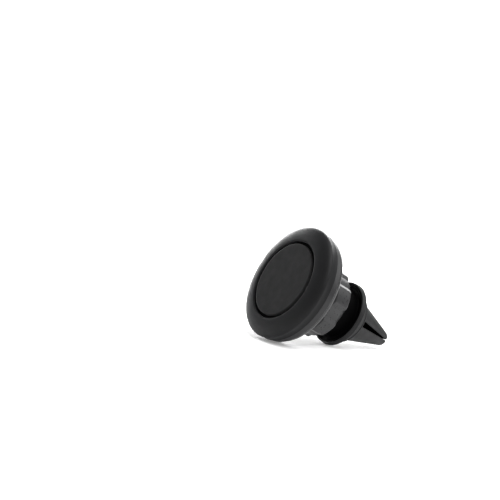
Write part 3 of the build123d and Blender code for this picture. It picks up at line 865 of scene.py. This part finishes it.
class MakeBezelRing(PieceOperator):
    """Makes the satin ring behind the cover."""

    bl_idname = "phone_mount.bezel_ring"
    bl_label = "Bezel Ring"

    def make(self, head, clip):
        front, rear = span("bezel_ring")
        radius = reach("bezel_ring")
        inside = bore("bezel_ring")
        corners = [
            (front, inside),
            (front, radius, head.bezel_edge),
            (rear, radius - head.bezel_taper, head.bezel_edge),
            (rear, inside),
        ]
        grown("bezel", rounded(corners, step=0.25 * MM), "head", "grey_trim", "bezel_ring")


class MakeRearShell(PieceOperator):
    """Makes the domed shell behind the head, with the recess that the nut swings into."""

    bl_idname = "phone_mount.rear_shell"
    bl_label = "Rear Shell"

    def make(self, head, clip):
        parting, ridge = span("rear_shell")
        widest = reach("rear_shell")
        ridge_radius = reach("rear_shell", ridge, ridge)
        hole = bore("rear_shell")
        spigot = reach("rear_shell", parting, parting)
        dome_front = ridge - head.dome_depth
        floor = span("rear_shell", outer=hole)[1]
        floor_radius = reach("rear_shell", floor, floor)
        ridge_drop = clip.edge / 2
        mouth = bore("rear_shell", ridge - ridge_drop)
        rise = widest - ridge_radius
        outer = arc((dome_front, ridge_radius), head.dome_depth, rise, 90, 0)
        inner_depth = head.dome_depth - head.shell_wall
        corners = [
            *outer[:-1],
            (*outer[-1], head.recess_edge),
            (ridge - ridge_drop, mouth, head.recess_edge),
            (floor, floor_radius, head.recess_edge),
            (floor, hole, clip.edge),
            (floor - head.shell_wall, hole),
            (floor - head.shell_wall, floor_radius + head.shell_wall),
            *arc((dome_front, ridge_radius), inner_depth, rise - head.shell_wall, 0, 90),
            (dome_front, spigot - head.spigot_wall),
            (parting, spigot - head.spigot_wall),
            (parting, spigot, clip.edge),
            (dome_front, spigot),
        ]
        grown("back_shell", rounded(corners, step=0.5 * MM), "head", "grey_trim", "rear_shell")


class MakeMagnets(PieceOperator):
    """Makes the magnets behind the face, with their rolled edges."""

    bl_idname = "phone_mount.magnets"
    bl_label = "Magnets"

    def make(self, head, clip):
        names = sorted(name for name in frame["nodes"] if name.removeprefix("magnet_").isdigit())
        front, rear = span(names[0])
        inner, outer = bore(names[0]), reach(names[0])
        radius = (outer - inner) / 2
        corners = [(front, 0), (front, radius, clip.edge), (rear, radius, clip.edge), (rear, 0)]
        section = rounded(corners, step=0.6 * MM, closed=False)
        values = {"Segments": 64, "Copies": len(names), "Copy Circle": (outer + inner) / 2}
        grown("magnets", section, "head", "magnet_plate", *names, steps=["Turn", "Copies"], values=values)


# ==== pieces: the ball joint =====================================================================
def ball_middle():
    """Where the ball's middle is along the axis."""
    return (lying.inverted() @ Vector(joints["ball_nod"]["pos_m"])).z


class MakeBallStud(PieceOperator):
    """Makes the ball stud: ball, neck, shoulder and spigot."""

    bl_idname = "phone_mount.ball_stud"
    bl_label = "Ball Stud"

    def make(self, head, clip):
        middle = ball_middle()
        front, rear = span("ball_stud")
        ball = rear - middle
        shoulder = reach("ball_stud", front, middle - ball)
        spigot = reach("ball_stud", front, front)
        shoulder_front, shoulder_rear = span("ball_stud", inner=shoulder, stop=middle - ball)
        neck = bore("ball_stud", shoulder_rear, shoulder_rear)
        hole = bore("ball_stud", front, front)
        hole_end = span("ball_stud", outer=hole, stop=middle)[1]
        neck_angle = 180 - degrees(atan2(neck, sqrt(ball**2 - neck**2)))
        around = arc((middle, 0), ball, ball, 0, neck_angle, steps=40)
        corners = [
            *around[:-1],
            (*around[-1], head.neck_fillet),
            (shoulder_rear, neck, head.neck_fillet),
            (shoulder_rear, shoulder, head.shoulder_edge),
            (shoulder_front, shoulder, head.shoulder_edge),
            (shoulder_front, spigot),
            (front, spigot, clip.edge),
            (front, hole),
            (hole_end, hole),
            (hole_end, 0),
        ]
        section = rounded(corners, step=0.4 * MM, closed=False)
        grown("stud", section, "stud", "stud_metal", "ball_stud")


class MakeClampRing(PieceOperator):
    """Makes the ring that the nut presses on the ball."""

    bl_idname = "phone_mount.clamp_ring"
    bl_label = "Clamp Ring"

    def make(self, head, clip):
        middle = ball_middle()
        front, rear = span("clamp_ring")
        radius = reach("clamp_ring")
        hollow = hypot(middle - front, bore("clamp_ring", front, front))
        angles = [degrees(atan2(sqrt(hollow**2 - (middle - s) ** 2), s - middle)) for s in (rear, front)]
        cup = arc((middle, 0), hollow, hollow, *angles, steps=12)
        corners = [*cup, (front, radius, clip.edge), (rear, radius, clip.edge)]
        grown("press_ring", rounded(corners, step=0.3 * MM), "clamp", "black_plastic", "clamp_ring")


class MakeLockNut(PieceOperator):
    """Makes the lock nut with its grip ribs."""

    bl_idname = "phone_mount.lock_nut"
    bl_label = "Lock Nut"

    def make(self, head, clip):
        front, rear = span("lock_nut")
        top = reach("lock_nut")
        mouth = bore("lock_nut")
        thread = bore("lock_nut", rear, rear)
        corners = [
            (front, mouth, clip.edge),
            (front, top - clip.nut_bevel, clip.edge),
            (front + clip.nut_bevel, top, clip.edge),
            (rear, top, clip.nut_round),
            (rear, thread, clip.edge),
            (front + clip.nut_lip, thread),
            (front + clip.nut_lip, mouth),
        ]
        values = {
            "Segments": 720,
            "Ribs": clip.rib_count,
            "First Rib": pi / 2 + clip.rib_roll,
            "Rib Radius": top,
            "Rib Height": clip.rib_height,
            "Rib Top": clip.rib_top,
            "Rib Foot": clip.rib_foot,
            "Rib Edge": clip.rib_edge,
        }
        section = rounded(corners, step=0.3 * MM)
        steps = ["Turn", "Ribs"]
        grown("grip_nut", section, "nut", "grey_plastic", "lock_nut", steps=steps, values=values)


# ==== pieces: the clip ===========================================================================
THREAD_STEP = 0.12 * MM     # between two points of a section that a thread is cut into
PRONGS = 4                  # one in each quarter between the two crossing slots
CORNER_ROOM = 0.95          # most of a slim prong's half width that its rounded edge takes up
PRONG_STEP = 0.5 * MM       # between two outlines of a prong
ROOT_STEPS = 12             # outlines round the root of the slots
TIP_STEPS = 10              # outlines round the tip of a prong
EDGE_STEPS = 6              # points round a prong's long edge, and along its slot walls
INNER_STEPS = 8             # points round the edge between the two slot walls


class MakeClipBase(PieceOperator):
    """Makes the clip's base: threaded barrel, socket and dished flange."""

    bl_idname = "phone_mount.clip_base"
    bl_label = "Clip Base"

    def make(self, head, clip):
        middle = ball_middle()
        front, boss_end = span("clip_base")
        barrel = reach("clip_base", front, middle)
        flange = reach("clip_base")
        flange_front, flange_rear = span("clip_base", inner=flange)
        pocket = bore("clip_base", front, front)
        boss = reach("clip_base", boss_end, boss_end)
        hole = bore("clip_base", boss_end, boss_end)
        hole_end = span("clip_base", outer=hole, start=middle + pocket + TOUCH)[0]
        thread_end = span("lock_nut")[1] + clip.thread_bare
        behind_thread = radii("clip_base", thread_end + 2 * TOUCH, flange_front - 2 * TOUCH)
        relief = min(radius for radius in behind_thread if radius > pocket + TOUCH)
        dish_floor = flange_front + clip.dish_depth
        corners = [
            *arc((middle, 0), pocket, pocket, 0, 90, steps=30),
            (front, pocket, clip.edge),
            (front, barrel, clip.edge),
            *run((front, barrel), (thread_end, barrel), ceil((thread_end - front) / THREAD_STEP)),
            (thread_end, barrel, clip.edge),
            (thread_end + barrel - relief, relief, clip.edge),
            (dish_floor, relief, 2 * clip.edge),
            (dish_floor, flange - clip.dish_edge - clip.dish_depth, clip.edge),
            (flange_front, flange - clip.dish_edge, clip.edge),
            (flange_front, flange),
            (flange_rear, flange),
            (flange_rear, boss),
            (boss_end, boss),
            (boss_end, hole),
            (hole_end, hole),
            (hole_end, 0),
        ]
        values = {
            "Segments": 256,
            "Thread Pitch": clip.thread_pitch,
            "Thread Depth": clip.thread_depth,
            "Thread Start": front,
            "Thread Stop": thread_end,
            "Thread Core": barrel - SKIN,
        }
        section = rounded(corners, step=0.6 * MM, closed=False)
        steps = ["Turn", "Thread"]
        # the near-black finish of the dish and barrel is partly painted shade from behind the nut
        grown("base", section, "clip", "black_plastic", "clip_base", steps=steps, values=values)


class MakeRim(PieceOperator):
    """Makes the silicone rim that wraps the flange and flares in to the collar behind it."""

    bl_idname = "phone_mount.rim"
    bl_label = "Rim"

    def make(self, head, clip):
        front, rear = span("flange_boot")
        hub_front = span("prong_hub")[0]
        radius = reach("flange_boot")
        rear_radius = radius - clip.rim_taper
        inside = bore("flange_boot", front, front)
        collar_inside = bore("flange_boot")
        rim_rear = span("flange_boot", inner=rear_radius - clip.rim_round)[1]
        flare_end = rim_rear + clip.flare_length
        bead_start = rear - clip.bead_length
        collar = reach("flange_boot", rear, rear)
        taper = clip.collar_taper / (rear - rim_rear)
        flare_from = (rim_rear, rear_radius - clip.rim_round)
        flare_to = (flare_end, collar + taper * (rear - flare_end))
        bead_from = (bead_start, collar + taper * (rear - bead_start))
        corners = [
            (front, inside, clip.edge / 2),
            (front, radius, clip.rim_round),
            (rim_rear, rear_radius, clip.rim_round),
            *bow(flare_from, flare_to, -clip.flare_draw),
            *bow(bead_from, (rear, collar), clip.bead_height),
            (rear, collar_inside),
            (hub_front, collar_inside),
            (hub_front, inside),
        ]
        section = rounded(corners, step=0.2 * MM)
        grown("rim", section, "clip", "grey_rubber", "flange_boot", values={"Segments": 256})


def prong_radius(clip, s):
    """Radius of the cone that the prongs share, at a distance along the axis."""
    front, tip = span("prong_boot_1")
    round_start = tip - clip.tip_round
    wide = reach("prong_boot_1", front, front)
    slim = reach("prong_boot_1", round_start, round_start)
    return wide + (slim - wide) * (s - front) / (round_start - front)


def prong_section(opening, radius, corner):
    """Outline of one prong across the axis, in the quarter between two slots.

    opening is half the slot's width, radius the prong's outside, corner the rounding of its edges.
    """
    edge = opening + corner
    far = sqrt((radius - corner) ** 2 - edge**2)
    lean = degrees(atan2(edge, far))
    outside = arc((0, 0), radius, radius, lean, 90 - lean)
    far_corner = arc((edge, far), corner, corner, 90 - lean, 180, EDGE_STEPS)[1:]
    near_corner = arc((edge, edge), corner, corner, 180, 270, INNER_STEPS)
    last_corner = arc((far, edge), corner, corner, 270, 360 + lean, EDGE_STEPS)[:-1]
    far_wall = run(far_corner[-1], near_corner[0], EDGE_STEPS)
    last_wall = run(near_corner[-1], last_corner[0], EDGE_STEPS)
    return outside + far_corner + far_wall + near_corner + last_wall + last_corner


def shade_lining_section(opening, radius, corner, clip):
    """Outline of the thin dead black sheet on both slot walls of one prong, up to its rounded edges: painted shade
    in the slot.
    """
    near = opening - clip.lining_proud
    deep = opening + clip.lining_depth
    far = sqrt((radius - corner) ** 2 - (opening + corner) ** 2)
    return [(near, far), (near, near), (far, near), (far, deep), (deep, deep), (deep, far)]


def prong_shape(clip):
    """Outlines of one prong and of its painted-shade lining, each with its place along the axis."""
    collar_end = span("flange_boot")[1]
    front, tip = span("prong_boot_1")
    slot_start = collar_end + clip.slot_start
    slot_full = slot_start + clip.slot_round
    round_start = tip - clip.tip_round

    def sunk(s, rounding):
        """How far an edge that is rounded towards the tip has drawn in at s."""
        past = max(0.0, s - (tip - rounding))
        return rounding - sqrt(max(0.0, rounding**2 - past**2))

    straight = round((round_start - slot_full) / PRONG_STEP)
    root = [1 - cos(pi / 2 * step / ROOT_STEPS) for step in range(ROOT_STEPS + 1)]
    between = [step / straight for step in range(1, straight)]
    end = [sin(pi / 2 * step / TIP_STEPS) for step in range(TIP_STEPS + 1)]
    stops = [collar_end - clip.edge]
    stops += [slot_start + clip.slot_round * share for share in root]
    stops += [slot_full + (round_start - slot_full) * share for share in between]
    stops += [round_start + clip.tip_round * share for share in end]
    skin = []
    lining = []
    for s in stops:
        share = min(1.0, max(0.0, s - slot_start) / clip.slot_round)
        opened = sqrt(1 - (1 - share) ** 2)
        full = (clip.slot_root + (clip.slot_tip - clip.slot_root) * (s - front) / (tip - front)) / 2
        opening = full * opened + sunk(s, clip.prong_corner)
        radius = prong_radius(clip, s) - sunk(s, clip.tip_round)
        room = CORNER_ROOM * (radius - sqrt(2) * opening) / (1 + sqrt(2))
        corner = min(clip.prong_corner * opened, room)
        skin.append((s, prong_section(opening, radius, corner)))
        if slot_start < s <= tip - clip.prong_corner:
            lining.append((s, shade_lining_section(opening, radius, corner, clip)))
    return skin, lining


class MakeProngs(PieceOperator):
    """Makes the four silicone prongs behind the collar, and the dead black lining that paints the shade in their
    slots.
    """

    bl_idname = "phone_mount.prongs"
    bl_label = "Prongs"

    def make(self, head, clip):
        skin, lining = prong_shape(clip)
        root = span("flange_boot")[1] + clip.slot_start
        bend = axis_point(root), axis_point(root + clip.bend_length)
        for index in range(PRONGS):
            body = f"prong_{index + 1}"
            roll = clip.prong_roll + tau * index / PRONGS
            place = lying @ Matrix.Rotation(roll + pi / 2 - pi / PRONGS, 4, "Z")
            skin_piece = skinned(f"{body}_skin", skin, place, finish_of("grey_rubber"))
            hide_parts(f"prong_boot_{index + 1}")
            # the lining is a dead black sheet without shine: painted shade inside the slots
            shade_lining_piece = skinned(f"{body}_lining", lining, place, finish_of("slot_lining"))
            for piece in (skin_piece, shade_lining_piece):
                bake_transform(piece)


# ==== pieces: screws and what is inside ==========================================================
SOCKET_DEPTH = 0.55         # share of the cap's thickness
SOCKET_RADIUS = 0.62        # share of the cap's radius
SOCKET_FLOOR = 0.7          # share of the socket's radius
CAP_ROUND = 0.2             # share of the cap's radius
POINT_LENGTH = 0.4          # share of the shank's radius
POINT_RADIUS = 0.6          # share of the shank's radius
SOCKET_MARGIN = 1.1         # share of the socket's depth down to which it is drawn in to a cross
SCREW_THREAD = 0.14         # depth of the thread, share of the shank's radius
SCREW_CORE = 0.95           # share of the shank's radius from which the thread is cut


class MakeScrews(PieceOperator):
    """Makes the screws of the head, the stud and the clip, with cross recesses and threads."""

    bl_idname = "phone_mount.screws"
    bl_label = "Screws"

    def make(self, head, clip):
        cap = span("head_screws")[0]
        circle = (reach("head_screws", cap, cap) + bore("head_screws")) / 2
        self.screws(clip, "head_screws", "head", circle, head.screw_count)
        self.screws(clip, "stud_screw", "stud")
        self.screws(clip, "clip_screw", "clip")

    def screws(self, clip, node, body, circle=0.0, copies=1):
        """Makes like screws on a circle round the axis, or one on the axis."""
        stops = sorted({round(s / TOUCH) * TOUCH for s, _ in rings(node)})
        if circle:
            sizes = [(reach(node, s, s) - bore(node, s, s)) / 2 for s in stops]
        else:
            sizes = [reach(node, s, s) for s in stops]
        if sizes[0] < sizes[-1]:
            stops.reverse()
            sizes.reverse()
        face, cap_end, end = stops
        cap, shank = sizes[0], sizes[-1]
        way = 1 if end > face else -1
        depth = SOCKET_DEPTH * abs(cap_end - face)
        socket = SOCKET_RADIUS * cap
        corners = [
            (face + way * depth, 0),
            (face + way * depth, SOCKET_FLOOR * socket),
            (face, socket),
            (face, cap, CAP_ROUND * cap),
            (cap_end, cap),
            (cap_end, shank),
            (end - way * POINT_LENGTH * shank, shank),
            (end, POINT_RADIUS * shank),
            (end, 0),
        ]
        values = {
            "Segments": 96,
            "Thread Pitch": clip.screw_pitch,
            "Thread Depth": SCREW_THREAD * shank,
            "Thread Start": min(cap_end, end),
            "Thread Stop": max(cap_end, end),
            "Thread Core": SCREW_CORE * shank,
            "Socket Radius": socket,
            "Socket Face": face,
            "Socket Depth": SOCKET_MARGIN * depth,
            "Copies": copies,
            "First Copy": pi / 2,
            "Copy Circle": circle,
        }
        section = rounded(corners, step=THREAD_STEP, closed=False)
        steps = ["Turn", "Thread", "Recess", "Copies"]
        grown(f"{node}_cut", section, body, "steel", node, steps=steps, values=values)


class FinishInnerParts(PieceOperator):
    """Gives the parts inside the mount the finish of their own material slot."""

    bl_idname = "phone_mount.inner_parts"
    bl_label = "Inner Parts"

    def make(self, head, clip):
        for part in frame["nodes"].values():
            if part.hide_render:
                continue
            for slot in part.material_slots:
                slot.material = finish_of(slot.material.name.split(".")[0])


# ==== stage ======================================================================================
FLOOR_SIDE = 12.0           # metres
SENSOR_WIDTH = 36           # millimetres
NEAREST = 0.01              # metres in front of the camera from which things are seen
# name, azimuth, elevation, distance in metres, side in metres, watts
SOFTBOXES = [
    ("overhead", 110, 70, 0.6, 0.3, 1.0),
    ("left", -108, 6, 0.5, 0.4, 6.0),
    ("back", -142, 24, 0.6, 0.3, 1.4),
]


def facing(azimuth, elevation):
    """Unit vector from the mount outwards: azimuth 0 is towards -Y and 90 degrees towards +X."""
    return Vector((sin(azimuth) * cos(elevation), -cos(azimuth) * cos(elevation), sin(elevation)))


class SetStage(bpy.types.Operator):
    """Sets the floor, the light and the camera."""

    bl_idname = "phone_mount.stage"
    bl_label = "Floor, Light and Camera"
    bl_options = {"REGISTER", "UNDO"}

    def execute(self, context):
        stage = context.scene.phone_mount_stage
        context.scene.view_settings.view_transform = "Standard"
        self.floor()
        self.surroundings(context, stage)
        self.skylight(context, stage)
        for place in SOFTBOXES:
            self.softbox(context, *place)
        self.camera(context, stage)
        return {"FINISHED"}

    def floor(self):
        """Makes a white sheet, level with the table that the mount lies on."""
        half, level = FLOOR_SIDE / 2, cad_box[0].z
        corners = [(-half, -half, level), (half, -half, level), (half, half, level), (-half, half, level)]
        sheet = new_piece("floor", corners, faces=[(0, 1, 2, 3)])
        sheet.data.materials.append(finish_of("floor"))

    def surroundings(self, context, stage):
        """Makes the white backdrop and the softer light that it gives from every side."""
        world = bpy.data.worlds.new("white room")
        world.use_nodes = True
        tree = world.node_tree
        seen = add(tree, "ShaderNodeLightPath").outputs["Is Camera Ray"]
        background = tree.nodes["Background"].inputs
        background["Color"].default_value = (1, 1, 1, 1)
        feed(background["Strength"], rise_over(tree, seen, 0.0, 1.0, stage.ambient, stage.backdrop))
        context.scene.world = world

    def skylight(self, context, stage):
        """Makes one broad, soft light that falls evenly over mount and floor."""
        light = bpy.data.lights.new("skylight", "SUN")
        light.angle = stage.skylight_width
        light.energy = stage.skylight
        lamp = bpy.data.objects.new("skylight", light)
        out = facing(stage.skylight_azimuth, stage.skylight_elevation)
        lamp.matrix_world = out.to_track_quat("Z", "Y").to_matrix().to_4x4()
        context.scene.collection.objects.link(lamp)

    def softbox(self, context, name, azimuth, elevation, distance, size, power):
        """Makes one square soft light that faces the mount. Azimuth 0 stands towards -Y."""
        middle = (cad_box[0] + cad_box[1]) / 2
        out = facing(radians(azimuth), radians(elevation))
        light = bpy.data.lights.new(name, "AREA")
        light.size = size
        light.energy = power
        lamp = bpy.data.objects.new(name, light)
        lamp.matrix_world = (-out).to_track_quat("-Z", "Y").to_matrix().to_4x4()
        lamp.location = middle + out * distance
        context.scene.collection.objects.link(lamp)

    def camera(self, context, stage):
        """Sets the camera by where the phone face stands in its picture."""
        out = facing(stage.azimuth, stage.elevation)
        level = Vector((cos(stage.azimuth), sin(stage.azimuth), 0))
        upright = out.cross(level)
        right = level * cos(stage.roll) + upright * sin(stage.roll)
        above = out.cross(right)
        camera = bpy.data.objects.new("camera", bpy.data.cameras.new("camera"))
        camera.data.sensor_width = SENSOR_WIDTH
        camera.data.lens = stage.lens
        camera.matrix_world = Matrix((right, above, out)).transposed().to_4x4()
        face = axis_point(0)
        camera.location = face - right * stage.sideways + above * stage.downwards + out * stage.distance
        camera.data.clip_start = NEAREST
        context.scene.collection.objects.link(camera)
        context.scene.camera = camera


# ==== add-on =====================================================================================
OPERATORS = [
    MakeFacePad,
    MakeSoftCover,
    MakeBezelRing,
    MakeRearShell,
    MakeMagnets,
    MakeBallStud,
    MakeClampRing,
    MakeLockNut,
    MakeClipBase,
    MakeRim,
    MakeProngs,
    MakeScrews,
    FinishInnerParts,
    SetStage,
]
SETTINGS = {
    "phone_mount_head": PhoneMountHead,
    "phone_mount_clip": PhoneMountClip,
    "phone_mount_colours": PhoneMountColours,
    "phone_mount_stage": PhoneMountStage,
}


class PhoneMountPanel(bpy.types.Panel):
    """Lists the pieces of the phone mount and their settings."""

    bl_idname = "VIEW3D_PT_phone_mount"
    bl_label = "Phone Mount"
    bl_space_type = "VIEW_3D"
    bl_region_type = "UI"
    bl_category = "Phone Mount"

    def draw(self, context):
        pieces = self.layout.column(align=True)
        for operator in OPERATORS:
            pieces.operator(operator.bl_idname)
        for name, group in SETTINGS.items():
            box = self.layout.box()
            box.label(text=group.__doc__)
            for setting in group.__annotations__:
                box.prop(getattr(context.scene, name), setting)


def register():
    for group in [*SETTINGS.values(), *OPERATORS, PhoneMountPanel]:
        bpy.utils.register_class(group)
    for name, group in SETTINGS.items():
        setattr(bpy.types.Scene, name, PointerProperty(type=group))


def unregister():
    for name in SETTINGS:
        delattr(bpy.types.Scene, name)
    for group in [PhoneMountPanel, *reversed(OPERATORS), *reversed(SETTINGS.values())]:
        bpy.utils.unregister_class(group)


def main():
    register()
    for operator in OPERATORS:
        group, name = operator.bl_idname.split(".")
        getattr(getattr(bpy.ops, group), name)()


if __name__ == "__main__":
    main()
